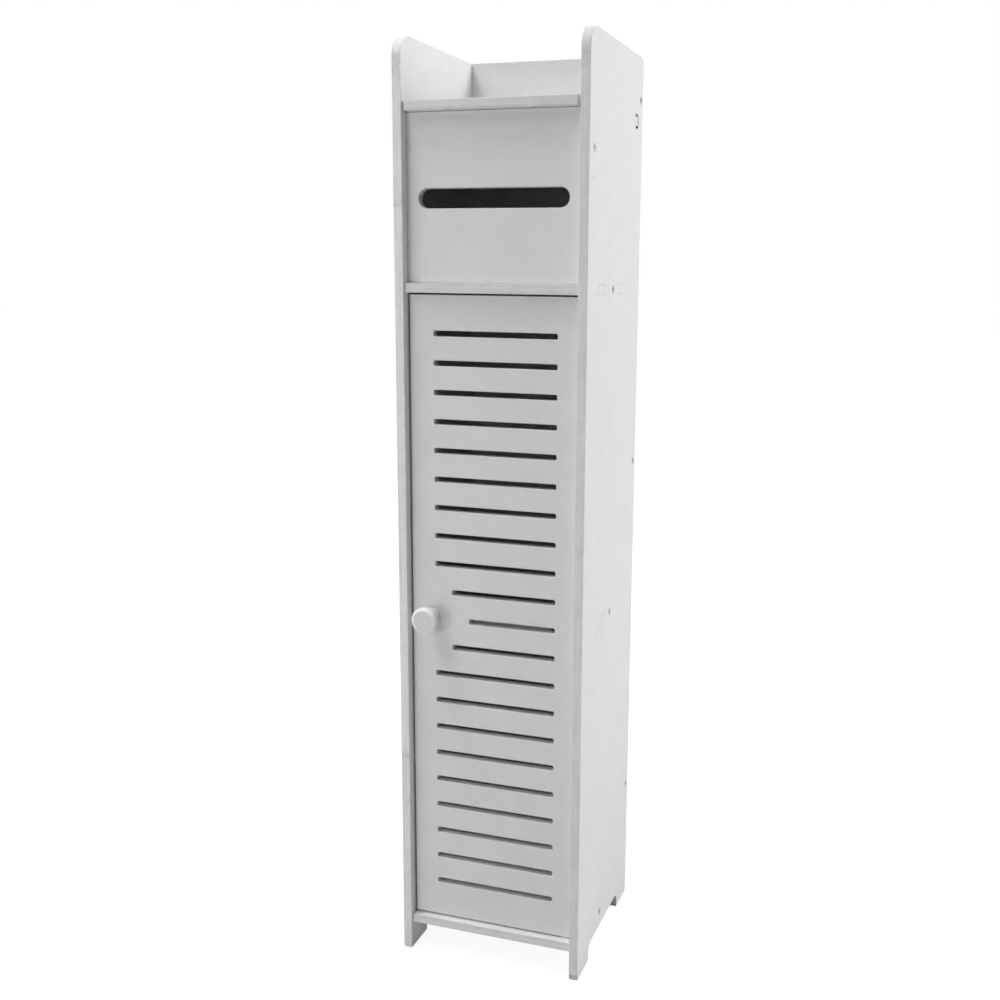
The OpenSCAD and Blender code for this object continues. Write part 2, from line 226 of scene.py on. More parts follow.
def makeCutterMarks():
    # short marks across an edge where a cutter turned a corner, within Half Height of Height
    group, given, out = newGroup("cutterMarks", [("Vector", "Vector", None), ("Height", "Float", 0.0),
                                                 ("Half Height", "Float", 0.01)],
                                 [("Mask", "Float"), ("Line", "Float")])
    rise = mathNode(group, "SUBTRACT", heightOf(group, given["Vector"]), given["Height"])
    share = mathNode(group, "DIVIDE", mathNode(group, "ABSOLUTE", rise), given["Half Height"])
    group.links.new(mapRange(group, share, 1.0, 0.55, smooth=True), out["Mask"])
    across = vectorMath(group, "MULTIPLY", {0: given["Vector"], 1: (240.0, 240.0, 1300.0)})
    group.links.new(mapRange(group, noise(group, across, 1.0), 0.38, 0.62), out["Line"])
    return group


def makeArcScuff():
    # a soft curved rub on a face: part of a ring round Centre, within Reach of Middle
    inputs = [("Vector", "Vector", None), ("Centre", "Vector", (0, 0, 0)), ("Radius", "Float", 0.02),
              ("Width", "Float", 0.002), ("Middle", "Vector", (0, 0, 0)), ("Reach", "Float", 0.02)]
    group, given, out = newGroup("arcScuff", inputs, [("Mask", "Float")])
    fromCentre = vectorMath(group, "DISTANCE", {0: given["Vector"], 1: given["Centre"]}, "Value")
    off = mathNode(group, "ABSOLUTE", mathNode(group, "SUBTRACT", fromCentre, given["Radius"]))
    line = mapRange(group, mathNode(group, "DIVIDE", off, given["Width"]), 1.0, 0.0, smooth=True)
    fromMiddle = vectorMath(group, "DISTANCE", {0: given["Vector"], 1: given["Middle"]}, "Value")
    near = mapRange(group, mathNode(group, "DIVIDE", fromMiddle, given["Reach"]), 1.0, 0.35, smooth=True)
    broken = mapRange(group, noise(group, given["Vector"], 160.0, 3.0), 0.25, 0.6, 0.35, 1.0)
    product = mathNode(group, "MULTIPLY", line, near)
    group.links.new(mathNode(group, "MULTIPLY", product, broken, True), out["Mask"])
    return group


effects = {
    "cutterMarks": makeCutterMarks(),
    "arcScuff": makeArcScuff(),
    "skinGrain": makeSkinGrain(),
    "handling": makeHandling(),
    "sawnEdge": makeSawnEdge(),
    "specks": makeSpecks(),
    "rimDirt": makeRimDirt(),
    "nearFloorDark": makeNearFloorDark(),
}


def useEffect(tree, name, inputs):
    return addNode(tree, "ShaderNodeGroup", inputs, node_tree=effects[name]).outputs


print("effects ready")

boardLook = {  # scales are per metre
    "skinColour": (0.776, 0.776, 0.774),
    "edgeColour": (0.832, 0.832, 0.829),
    "dirtColour": (0.36, 0.355, 0.35, 1),
    "skinRoughness": 0.42,
    "edgeRoughness": (0.56, 0.72),
    "skinBump": 0.06,
    "edgeBump": 0.22,
    "skinCloud": {"Scale": 45.0, "Amount": 0.085},
    "edgeCloud": {"Scale": 70.0, "Amount": 0.16},
    "skinBreaks": 70.0,
    "edgeBreaks": 85.0,
    "skinNearFloorReach": 25 * mm,
    "edgeNearFloorReach": 30 * mm,
    "specks": {"Scale": 95.0, "Share": 0.05},
    "dirtAmount": 0.16,
    "nearFloorAmount": 0.30,
    "speckAmount": 0.18,
    "lineAmount": 0.30,
    "skinBumpDepth": 0.4 * mm,
    "edgeBumpDepth": 0.3 * mm,
    "ior": 1.47,
}
plasticLook = {"cloud": {"Scale": 60.0, "Amount": 0.03}, "peel": {"Peel Scale": 1400.0, "Wave Scale": 120.0},
               "bump": 0.05, "bumpDepth": 0.2 * mm, "ior": 1.5}
steelLook = {"cloud": {"Scale": 420.0, "Amount": 0.16}, "peel": {"Peel Scale": 3000.0, "Wave Scale": 600.0},
             "specks": {"Scale": 900.0, "Share": 0.2}, "speckAmount": 0.5,
             "speckColour": (0.24, 0.23, 0.22, 1), "bump": 0.1, "bumpDepth": 0.1 * mm}
coreLook = {"cloud": {"Scale": 900.0, "Amount": 0.25}, "fibres": {"Stretch": (1800, 1800, 1800)},
            "roughness": 0.9, "bump": 0.4, "bumpDepth": 0.3 * mm}


def blankMaterial(name):
    material = bpy.data.materials.new(name)
    material.use_nodes = True
    tree = material.node_tree
    return material, tree, tree.nodes["Principled BSDF"]


def stained(tree, colour, mask, amount, stain=boardLook["dirtColour"]):
    return mixColour(tree, mathNode(tree, "MULTIPLY", mask, amount), colour, stain)


def boardSkin(name, seed, skinPaintedLight, scuffs):
    look = boardLook
    material, tree, shader = blankMaterial(name)
    place = objectPlace(tree)
    spot = shifted(tree, place, (seed * 1.7, seed * 0.9, seed * 0.4))
    breaks = {"Vector": spot, "Rim": rimValue(tree), "Break Scale": look["skinBreaks"]}
    tone = useEffect(tree, "handling", {"Vector": spot, **look["skinCloud"]})["Tone"]
    dirt = useEffect(tree, "rimDirt", breaks)["Mask"]
    nearFloor = useEffect(tree, "nearFloorDark", {"Vector": place, "Reach": look["skinNearFloorReach"]})["Mask"]
    speck = useEffect(tree, "specks", {"Vector": spot, **look["specks"]})["Mask"]
    # the skin tone scales the colour up where the lamps leave a board too dark: painted light
    colour = toned(tree, [value * skinPaintedLight for value in look["skinColour"]], tone)
    colour = stained(tree, colour, dirt, look["dirtAmount"])
    colour = stained(tree, colour, nearFloor, look["nearFloorAmount"])
    colour = stained(tree, colour, speck, look["speckAmount"])
    for scuff in scuffs:
        rub = useEffect(tree, "arcScuff", {"Vector": place, **scuff["arc"]})["Mask"]
        colour = stained(tree, colour, rub, scuff["amount"], scuff["colour"])
    height = useEffect(tree, "skinGrain", {"Vector": spot})["Height"]
    feed(tree, shader, {"Base Color": colour, "IOR": look["ior"],
                        "Roughness": mathNode(tree, "MULTIPLY", tone, look["skinRoughness"]),
                        "Normal": bumped(tree, height, look["skinBump"], look["skinBumpDepth"])})
    return material


def boardEdge(name, seed, grain, edgePaintedLight, marks):
    look = boardLook
    material, tree, shader = blankMaterial(name)
    place = objectPlace(tree)
    spot = shifted(tree, place, (seed * 1.3, seed * 0.6, seed * 0.8))
    breaks = {"Vector": spot, "Rim": rimValue(tree), "Break Scale": look["edgeBreaks"]}
    saw = useEffect(tree, "sawnEdge", {"Vector": spot, "Stretch": grain})
    tone = useEffect(tree, "handling", {"Vector": spot, **look["edgeCloud"]})["Tone"]
    dirt = useEffect(tree, "rimDirt", breaks)["Mask"]
    nearFloor = useEffect(tree, "nearFloorDark", {"Vector": place, "Reach": look["edgeNearFloorReach"]})["Mask"]
    # the edge tone scales the colour up where the lamps leave an edge too dark: painted light
    colour = toned(tree, [value * edgePaintedLight for value in look["edgeColour"]], tone)
    colour = stained(tree, colour, saw["Tint"], look["lineAmount"])
    colour = stained(tree, colour, dirt, look["dirtAmount"])
    colour = stained(tree, colour, nearFloor, look["nearFloorAmount"])
    height = saw["Height"]
    for level, halfHeight, amount in marks:
        found = useEffect(tree, "cutterMarks", {"Vector": place, "Height": level, "Half Height": halfHeight})
        share = mathNode(tree, "MULTIPLY", found["Mask"], found["Line"])
        colour = stained(tree, colour, share, amount)
        height = mathNode(tree, "SUBTRACT", height, share)
    smoothest, roughest = look["edgeRoughness"]
    feed(tree, shader, {"Base Color": colour, "IOR": look["ior"],
                        "Roughness": mapRange(tree, saw["Tint"], 0.0, 1.0, smoothest, roughest),
                        "Normal": bumped(tree, height, look["edgeBump"], look["edgeBumpDepth"])})
    return material


def mouldedPlastic(name, colour, roughness, seed, rimHighlightColour=None):
    look = plasticLook
    material, tree, shader = blankMaterial(name)
    place = shifted(tree, objectPlace(tree), (seed, seed, seed))
    tone = useEffect(tree, "handling", {"Vector": place, **look["cloud"]})["Tone"]
    # the rim colour is a painted highlight: the rounded rim lighter than the face
    if rimHighlightColour:
        colour = mixColour(tree, rimValue(tree), (*colour, 1), (*rimHighlightColour, 1))
    height = useEffect(tree, "skinGrain", {"Vector": place, **look["peel"]})["Height"]
    feed(tree, shader, {"Base Color": toned(tree, colour, tone), "IOR": look["ior"],
                        "Roughness": mathNode(tree, "MULTIPLY", tone, roughness),
                        "Normal": bumped(tree, height, look["bump"], look["bumpDepth"])})
    return material


def platedSteel(name, colour, roughness, seed):
    look = steelLook
    material, tree, shader = blankMaterial(name)
    place = shifted(tree, objectPlace(tree), (seed, seed, seed))
    tone = useEffect(tree, "handling", {"Vector": place, **look["cloud"]})["Tone"]
    speck = useEffect(tree, "specks", {"Vector": place, **look["specks"]})["Mask"]
    dulled = stained(tree, toned(tree, colour, tone), speck, look["speckAmount"], look["speckColour"])
    height = useEffect(tree, "skinGrain", {"Vector": place, **look["peel"]})["Height"]
    feed(tree, shader, {"Base Color": dulled, "Metallic": 1.0,
                        "Roughness": mathNode(tree, "MULTIPLY", tone, roughness),
                        "Normal": bumped(tree, height, look["bump"], look["bumpDepth"])})
    return material


def shadedBoreWall(name, colour, seed, pocketShade=None):
    # wall of a drilled hole, its colour darker than the board as painted shade in the bore; the optional pocket
    # colours paint shade above and below what fills the hole
    look = coreLook
    material, tree, shader = blankMaterial(name)
    place = objectPlace(tree)
    spot = shifted(tree, place, (seed, seed, seed))
    tone = useEffect(tree, "handling", {"Vector": spot, **look["cloud"]})["Tone"]
    if pocketShade:
        rise = mathNode(tree, "SUBTRACT", heightOf(tree, place), pocketShade["level"])
        over = mapRange(tree, rise, pocketShade["shadeStart"], pocketShade["shadeFull"])
        under = mapRange(tree, rise, -pocketShade["shadeStart"], -pocketShade["shadeFull"])
        topped = mixColour(tree, over, (*colour, 1), pocketShade["above"])
        colour = mixColour(tree, under, topped, pocketShade["below"])
    fibres = useEffect(tree, "sawnEdge", {"Vector": spot, **look["fibres"]})["Height"]
    feed(tree, shader, {"Base Color": toned(tree, colour, tone), "Roughness": look["roughness"],
                        "Normal": bumped(tree, fibres, look["bump"], look["bumpDepth"])})
    return material


finish = {
    # screw-hole walls darker than the board: painted shade in the bores
    "boreShade": shadedBoreWall("shadedBoreWall", (0.40, 0.396, 0.39), seed=6.4),
    # knob rim lighter than its face: a painted highlight
    "knob": mouldedPlastic("knobPlastic", (0.74, 0.74, 0.738), 0.16, seed=3.1, rimHighlightColour=(0.93, 0.93, 0.928)),
    "washer": mouldedPlastic("washerPlastic", (0.82, 0.82, 0.81), 0.38, seed=5.2),
    "steel": platedSteel("zincSteel", (0.50, 0.50, 0.51), 0.34, seed=1.4),
    # near-black screw recesses: painted shade in the cross recess
    "recess": platedSteel("shadedRecess", (0.07, 0.068, 0.065), 0.55, seed=2.3),
    # pins near black: painted shade, so that each pin reads as part of the dark gap over the door
    "pin": platedSteel("gapShadeSteel", (0.12, 0.12, 0.122), 0.5, seed=4.7),
}
print("materials ready")


# outlines: points in a board's own plane, anticlockwise

def rounded(corners, stepDegrees=7.5):
    # corners are (u, v, radius); a radius of 0 keeps the corner
    points = []
    for i, (u, v, radius) in enumerate(corners):
        here = Vector((u, v))
        if radius <= 0:
            points.append(here)
            continue
        before = (Vector(corners[i - 1][:2]) - here).normalized()
        after = (Vector(corners[(i + 1) % len(corners)][:2]) - here).normalized()
        half = before.angle(after) / 2
        hub = here + (before + after).normalized() * (radius / math.sin(half))
        first = here + before * (radius / math.tan(half)) - hub
        last = here + after * (radius / math.tan(half)) - hub
        turn = first.angle_signed(last)
        steps = max(3, round(abs(math.degrees(turn)) / stepDegrees))
        points += [hub + Matrix.Rotation(-turn * k / steps, 2) @ first for k in range(steps + 1)]
    return points


def rectangle(u, v, width, height, radius):
    signs = ((-1, -1), (1, -1), (1, 1), (-1, 1))
    return rounded([(u + x * width / 2, v + y * height / 2, radius) for x, y in signs])


def upright(low, high, corner):
    # the outline of a plain upright panel, from its box
    return rounded([(low[0], low[2], corner), (high[0], low[2], corner),
                    (high[0], high[2], corner), (low[0], high[2], corner)])


def tenon(near, far, start, end, corner):
    return [(near, start, 0), (far, start, corner), (far, end, corner), (near, end, 0)]


def mirrored(right):
    # corners all round from those of the right half, which run from the start of V to its end
    left = [(-u, v, radius) for u, v, radius in reversed(right)]
    return left[-1:] + right + left[:-1]


def ring(u, v, radius, steps):
    angles = [2 * math.pi * k / steps for k in range(steps)]
    return [Vector((u + radius * math.cos(a), v + radius * math.sin(a))) for a in angles]


def arcPoints(hubU, hubV, radius, fromDegrees, toDegrees, steps):
    angles = [math.radians(fromDegrees + (toDegrees - fromDegrees) * k / steps) for k in range(steps + 1)]
    return [(hubU + radius * math.cos(a), hubV + radius * math.sin(a)) for a in angles]


almostNothing = 1e-14


def signedArea(points):
    return sum(p.x * q.y - q.x * p.y for p, q in zip(points, points[1:] + points[:1])) / 2


def insetBy(points, distances):
    moved = []
    for i, here in enumerate(points):
        a = (here - points[i - 1]).normalized()
        b = (points[(i + 1) % len(points)] - here).normalized()
        leftA, leftB = Vector((-a.y, a.x)), Vector((-b.y, b.x))
        moved.append(here + (leftA + leftB) * (distances[i] / (1 + leftA.dot(leftB))))
    return closedArcs(points, moved)


def closedArcs(points, moved):
    # an arc tighter than the inset closes to the crossing of the lines beside it
    count = len(points)
    turnedBack = [(moved[(i + 1) % count] - moved[i]).dot(points[(i + 1) % count] - points[i]) < 0
                  for i in range(count)]
    start = turnedBack.index(False)
    i = 0
    while i < count:
        first = (start + i) % count
        if not turnedBack[first]:
            i += 1
            continue
        run = 1
        while turnedBack[(first + run) % count]:
            run += 1
        last = (first + run) % count
        crossing = crossingOf(moved[first - 1], moved[first], moved[last], moved[(last + 1) % count])
        if crossing is not None:
            for k in range(run + 1):
                moved[(first + k) % count] = crossing.copy()
        i += run
    return moved


def crossingOf(a, b, c, d):
    p, q = b - a, d - c
    across = p.x * q.y - p.y * q.x
    if abs(across) < almostNothing:  # the lines are parallel
        return None
    t = ((c.x - a.x) * q.y - (c.y - a.y) * q.x) / across
    return a + p * t


boardMesh = {"steps": 3, "margin": 1.3 * mm, "squareEase": 0.15 * mm, "weld": 1e-7}
planes = {
    "side": lambda u, v, w: Vector((w, u, v)),
    "front": lambda u, v, w: Vector((u, -w, v)),
    "flat": lambda u, v, w: Vector((u, v, w)),
}
skinSlot, edgeSlot, boreShadeSlot, pivotSlot = range(4)


def boardSpan(node, plane):
    # where a board starts along its own W, and how thick it is
    low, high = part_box(node)
    axis = {"side": 0, "front": 1, "flat": 2}[plane]
    return -high[1] if plane == "front" else low[axis], high[axis] - low[axis]


def edgeLevels():
    # rings of an edge from the bottom face to the top: angle round the ease, face it belongs to, rim value
    quarter = [math.pi / 2 * k / boardMesh["steps"] for k in range(boardMesh["steps"] + 1)]
    bottom = [(None, 0, 0.0)] + [(angle, 0, 1.0) for angle in quarter]
    top = [(angle, 1, 1.0) for angle in reversed(quarter)] + [(None, 1, 0.0)]
    return bottom + [(math.pi / 2, 0.5, 0.0)] + top


def edgeRings(mesh, rimLayer, points, radii, at, thickness):
    rings = []
    for angle, end, rim in edgeLevels():
        if angle is None:
            insets, rises = [boardMesh["margin"]] * len(points), [0.0] * len(points)
        else:
            insets = [r * (1 - math.sin(angle)) for r in radii]
            rises = [r * (1 - math.cos(angle)) for r in radii]
        row = []
        for p, rise in zip(insetBy(points, insets), rises):
            height = thickness / 2 if end == 0.5 else abs(end * thickness - rise)
            vert = mesh.verts.new(at(p.x, p.y, height))
            vert[rimLayer] = rim
            row.append(vert)
        rings.append(row)
    return rings


def fillFace(mesh, loops, up):
    # the flat of a face inside its outline and outside its holes
    verts = [vert for _, row in loops for vert in row]
    for trio in tessellate_polygon([[p.to_3d() for p in points] for points, _ in loops]):
        corners = tuple(verts[i] for i in trio)
        a, b, c = [vert.co for vert in corners]
        facing = (b - a).cross(c - a)
        if facing.length > almostNothing:
            mesh.faces.new(corners if facing.dot(up) > 0 else corners[::-1])


def cutBoard(name, node, plane, outline, ease, holes=(), holeEase=0.0, bores=(), butted=None, tenonEnd=None):
    # a board with eased edges all round and round its holes, whose walls use the edge material.
    # bores are holes with a wall material of their own, as (points, material slot).
    # butted(point) is true where the edge stands against another board, and stays almost square;
    # tenonEnd(point) is true where the edge shows flush in another board's face, and is painted with it
    start, thickness = boardSpan(node, plane)
    place = planes[plane]
    mesh = bmesh.new()
    rimLayer = mesh.verts.layers.float.new("rim")
    bottomLoops, topLoops = [], []
    loops = [(outline, True, edgeSlot)] + [(hole, False, edgeSlot) for hole in holes]
    loops += [(bore, False, slot) for bore, slot in bores]
    for points, outer, wallSlot in loops:
        if (signedArea(points) > 0) != outer:
            points = list(reversed(points))
        count = len(points)
        radii = [boardMesh["squareEase"] if outer and butted and butted(p) else (ease if outer else holeEase)
                 for p in points]
        rings = edgeRings(mesh, rimLayer, points, radii, lambda u, v, w: place(u, v, start + w), thickness)
        lastLevel = len(rings) - 2
        for level, (below, above) in enumerate(zip(rings, rings[1:])):
            for i in range(count):
                j = (i + 1) % count
                face = mesh.faces.new((below[i], below[j], above[j], above[i]))
                flush = tenonEnd and tenonEnd(points[i]) and tenonEnd(points[j])
                face.material_index = skinSlot if flush or level in (0, lastLevel) else wallSlot
        flat = insetBy(points, [boardMesh["margin"]] * count)
        bottomLoops.append((flat, rings[0]))
        topLoops.append((flat, rings[-1]))
    fillFace(mesh, bottomLoops, -place(0, 0, 1))
    fillFace(mesh, topLoops, place(0, 0, 1))
    bmesh.ops.remove_doubles(mesh, verts=mesh.verts, dist=boardMesh["weld"])
    bmesh.ops.recalc_face_normals(mesh, faces=mesh.faces)
    return finishMesh(name, mesh)


def finishMesh(name, mesh):
    data = bpy.data.meshes.new(name)
    mesh.to_mesh(data)
    mesh.free()
    data.shade_smooth()
    piece = bpy.data.objects.new(name, data)
    bpy.context.collection.objects.link(piece)
    weighted = piece.modifiers.new("evenNormals", "WEIGHTED_NORMAL")
    weighted.mode = "FACE_AREA"
    weighted.weight = 80
    return piece


def dressBoard(piece, node, body, seed, grain, edgePaintedLight=1.0, marks=(), scuffs=(), skinPaintedLight=1.0):
    piece.data.materials.append(boardSkin(node + "Skin", seed, skinPaintedLight, scuffs))
    piece.data.materials.append(boardEdge(node + "Edge", seed, grain, edgePaintedLight, marks))
    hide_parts(node)
    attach(piece, body)


def turned(name, profile, origin, axis, steps, rims=None, closed=False):
    # profile is (radius, height) from the foot up, turned round axis from origin; rims is the rim value of
    # each, and closed joins its end to its start
    mesh = bmesh.new()
    rimLayer = mesh.verts.layers.float.new("rim")
    turn = Vector(axis).to_track_quat("Z", "Y").to_matrix()
    rows = []
    for radius, height in profile:
        points = ring(0, 0, radius, steps) if radius else [(0, 0)]
        rows.append([mesh.verts.new(Vector(origin) + turn @ Vector((x, y, height))) for x, y in points])
    for row, value in zip(rows, rims or []):
        for vert in row:
            vert[rimLayer] = value
    for low, high in zip(rows, rows[1:] + rows[:1] if closed else rows[1:]):
        for k in range(steps):
            n = (k + 1) % steps
            if len(low) == 1:
                mesh.faces.new((low[0], high[n], high[k]))
            elif len(high) == 1:
                mesh.faces.new((low[k], low[n], high[0]))
            else:
                mesh.faces.new((low[k], low[n], high[n], high[k]))
    bmesh.ops.recalc_face_normals(mesh, faces=mesh.faces)
    return finishMesh(name, mesh)


sidePanel = {
    "frontTopRadius": 18 * mm,
    "rearTopRadius": 6 * mm,
    "footLength": 34 * mm,
    "footCorner": 0.8 * mm,
    "archHeight": 14.5 * mm,
    "archRadius": 8 * mm,
    "arcStep": 5.0,
    "ease": 0.6 * mm,
    "screwHoleRadius": 3.28 * mm,
    "screwHoleSteps": 32,
    "pivotHoleRadius": 6.5 * mm,
    "pivotHoleSteps": 48,
    "grain": (1100, 1100, 9),
}
joinery = {
    "play": 0.1 * mm,
    "tenonCorner": 0.4 * mm,
    "mortiseEase": 0.12 * mm,
    "shelfTenonCentres": [39 * mm, 106 * mm],
    "shelfTenonLength": 26 * mm,
    "slotTenonHeight": 30 * mm,
    "rearTenonWidth": 40 * mm,
    "sideScrews": ["slot_panel_screw", "mid_shelf_screw", "inner_shelf_screw", "bottom_board_screw"],
    "backScrewHeights": [763 * mm, 440.5 * mm, 118 * mm],
}
edgeMarks = {  # height, half height and darkness of each run of marks
    "left": [(774 * mm, 14 * mm, 0.22), (667 * mm, 3 * mm, 0.28), (188 * mm, 2.5 * mm, 0.22)],
    "right": [(777 * mm, 13 * mm, 0.28), (2 * mm, 4 * mm, 0.8)],
}
mortiseHeight = size("lid", 2) + 2 * joinery["play"]  # every board is as thick as the lid
lidPivot = next(joint for joint in frame["joints"] if joint["name"] == "lid_pivot")
pivotPoint = Vector(lidPivot["pos_m"])
# painted shade in the pivot hole: mid grey in the gap above the lid's tab, near black in the gap below it
pivotPocketShade = {"level": pivotPoint.z, "shadeStart": 3.0 * mm, "shadeFull": 4.2 * mm,
                "above": (0.64, 0.635, 0.63, 1), "below": (0.17, 0.168, 0.165, 1)}
pivotBoreShade = shadedBoreWall("pivotBoreShade", (0.80, 0.80, 0.797), 8.6, pivotPocketShade)
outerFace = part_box("right_side_panel")[1][0]


def sideScuff(centreAt, middleAt, radius, width, reach, amount, grey):
    arc = {"Centre": (outerFace, *centreAt), "Middle": (outerFace, *middleAt), "Radius": radius,
           "Width": width, "Reach": reach}
    return {"arc": arc, "amount": amount, "colour": (grey, grey, grey, 1)}


rightScuffs = [
    sideScuff((-0.010, 0.292), (-0.022, 0.316), 26.2 * mm, 2.4 * mm, 30 * mm, 0.26, 0.36),
    sideScuff((0.004, 0.292), (-0.014, 0.314), 26.2 * mm, 2.0 * mm, 18 * mm, 0.22, 0.36),
    sideScuff((-0.042, 0.132), (-0.042, 0.0325), 100 * mm, 2.2 * mm, 18 * mm, 0.75, 0.90),
]


def sideOutline(low, high):
    s = sidePanel
    front, rear, top = low[1], high[1], high[2]
    corner = s["footCorner"]
    frontArch, rearArch = front + s["footLength"], rear - s["footLength"]
    return rounded([
        (front, 0, corner), (frontArch, 0, corner), (frontArch, s["archHeight"], s["archRadius"]),
        (rearArch, s["archHeight"], s["archRadius"]), (rearArch, 0, corner), (rear, 0, corner),
        (rear, top, s["rearTopRadius"]), (front, top, s["frontTopRadius"]),
    ], s["arcStep"])


def sideMortises(front):
    shelf, panel = centre("mid_shelf"), centre("slot_panel")
    corner = joinery["tenonCorner"]
    mortises = [rectangle(front + along, shelf.z, joinery["shelfTenonLength"], mortiseHeight, corner)
                for along in joinery["shelfTenonCentres"]]
    return mortises + [rectangle(panel.y, panel.z, mortiseHeight, joinery["slotTenonHeight"], corner)]


def sideBores(side):
    s = sidePanel
    spots = [centre(f"{name}_{side}") for name in joinery["sideScrews"]]
    places = [(spot.y, spot.z) for spot in spots]
    places += [(centre("back_panel").y, height) for height in joinery["backScrewHeights"]]
    bores = [(ring(u, v, s["screwHoleRadius"], s["screwHoleSteps"]), boreShadeSlot) for u, v in places]
    pivotHole = ring(pivotPoint.y, pivotPoint.z, s["pivotHoleRadius"], s["pivotHoleSteps"])
    return bores + [(pivotHole, pivotSlot)]


def makeSide(side, seed, edgePaintedLight, scuffs=()):
    node = f"{side}_side_panel"
    low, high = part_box(node)
    piece = cutBoard(f"{side}SidePanel", node, "side", sideOutline(low, high), sidePanel["ease"],
                     sideMortises(low[1]), joinery["mortiseEase"], sideBores(side))
    dressBoard(piece, node, "cabinet", seed, sidePanel["grain"], edgePaintedLight, edgeMarks[side], scuffs)
    piece.data.materials.append(finish["boreShade"])
    piece.data.materials.append(pivotBoreShade)


# edge tones above 1 are painted light: the left edges lighter as if lit from the left, the right ones a little
makeSide("left", 1.0, 1.13)
makeSide("right", 2.0, 1.04, rightScuffs)
print("side panels ready")

panelShape = {
    "ease": 0.4 * mm,
    "corner": 0.5 * mm,
    "notch": (25 * mm, 5 * mm),
    "notchRadius": 2 * mm,
    "touch": 0.05 * mm,
    "through": 2 * mm,
    "grain": (9, 1100, 1100),
}
halfInside = size("back_panel", 0) / 2
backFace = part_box("back_panel")[0][1]


def besideWall(point):
    return abs(point.x) > halfInside - panelShape["touch"]


def throughWall(point):
    return abs(point.x) > halfInside + panelShape["through"]


def besideWallOrBack(point):
    return besideWall(point) or point.y > backFace - panelShape["touch"]


def throughWallOrBack(point):
    return throughWall(point) or point.y > backFace + panelShape["through"]


def shelfOutline(node, sideTenons, notched):
    low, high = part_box(node)
    front, corner, play = low[1], panelShape["corner"], joinery["play"]
    halfRear = joinery["rearTenonWidth"] / 2 - play
    right = [(halfInside, front, corner)]
    if sideTenons:
        for along in joinery["shelfTenonCentres"]:
            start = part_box("left_side_panel")[0][1] + along - joinery["shelfTenonLength"] / 2 + play
            end = start + joinery["shelfTenonLength"] - 2 * play
            right += tenon(halfInside, high[0], start, end, joinery["tenonCorner"])
    right += [(halfInside, backFace, corner), (halfRear, backFace, 0),
              (halfRear, high[1], joinery["tenonCorner"])]
    corners = mirrored(right)
    if notched:  # room for the screw on the back of the door
        width, depth = panelShape["notch"]
        corners[1:2] = [(halfInside - width, front, corner),
                        (halfInside - width, front + depth, panelShape["notchRadius"]),
                        (halfInside, front + depth, corner)]
    return rounded(corners)


def makeShelf(node, name, seed, sideTenons=False, notched=False, edgePaintedLight=1.0, skinPaintedLight=1.0):
    piece = cutBoard(name, node, "flat", shelfOutline(node, sideTenons, notched), panelShape["ease"],
                     butted=besideWallOrBack, tenonEnd=throughWallOrBack)
    dressBoard(piece, node, "cabinet", seed, panelShape["grain"], edgePaintedLight, skinPaintedLight=skinPaintedLight)


def makeBackPanel():
    mortises = [rectangle(0, centre(node).z, joinery["rearTenonWidth"], mortiseHeight, joinery["tenonCorner"])
                for node in ("mid_shelf", "inner_shelf", "bottom_board")]
    piece = cutBoard("backPanel", "back_panel", "front", upright(*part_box("back_panel"), panelShape["corner"]),
                     panelShape["ease"], mortises, joinery["mortiseEase"], butted=besideWall)
    # back panel skin toned up: painted light on the back wall
    dressBoard(piece, "back_panel", "cabinet", 6.0, panelShape["grain"], skinPaintedLight=1.09)


makeShelf("mid_shelf", "midShelf", 3.0, sideTenons=True)
makeShelf("inner_shelf", "innerShelf", 4.0, notched=True)
# bottom board skin and edges toned up: painted light on the strip in front of the door
makeShelf("bottom_board", "bottomBoard", 5.0, edgePaintedLight=1.07, skinPaintedLight=1.12)
makeBackPanel()
print("shelves and back ready")

tissueSlot = {"length": 130 * mm, "height": 16 * mm, "ease": 0.7 * mm, "endFlat": 0.01 * mm}


def makeSlotPanel():
    low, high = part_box("slot_panel")
    s, corner = tissueSlot, panelShape["corner"]
    mid = (low[2] + high[2]) / 2
    reach = joinery["slotTenonHeight"] / 2 - joinery["play"]
    sideTenon = tenon(halfInside, high[0], mid - reach, mid + reach, joinery["tenonCorner"])
    corners = mirrored([(halfInside, low[2], corner)] + sideTenon + [(halfInside, high[2], corner)])
    slot = rectangle(0, mid, s["length"], s["height"], s["height"] / 2 - s["endFlat"])
    piece = cutBoard("slotPanel", "slot_panel", "front", rounded(corners), panelShape["ease"], [slot],
                     s["ease"], butted=besideWall, tenonEnd=throughWall)
    # slot panel skin toned up a little: painted light
    dressBoard(piece, "slot_panel", "cabinet", 7.0, panelShape["grain"], skinPaintedLight=1.03)


makeSlotPanel()
print("slot panel ready")

lidShape = {"ease": 0.6 * mm, "corner": 1.0 * mm, "tabDepth": 10 * mm, "tabCorner": 0.5 * mm, "gap": 1.8 * mm}


def makeLid():
    low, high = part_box("lid")
    s = lidShape
    half = halfInside - s["gap"]
    corner, tabCorner = s["corner"], s["tabCorner"]
    tabFront, tabRear = pivotPoint.y - s["tabDepth"] / 2, pivotPoint.y + s["tabDepth"] / 2
    corners = mirrored([(half, low[1], corner), (half, tabFront, tabCorner), (high[0], tabFront, tabCorner),
                        (high[0], tabRear, tabCorner), (half, tabRear, 0), (half, high[1], corner)])
    piece = cutBoard("lidBoard", "lid", "flat", rounded(corners), s["ease"])
    dressBoard(piece, "lid", "lid", 8.0, panelShape["grain"])


makeLid()
print("lid ready")

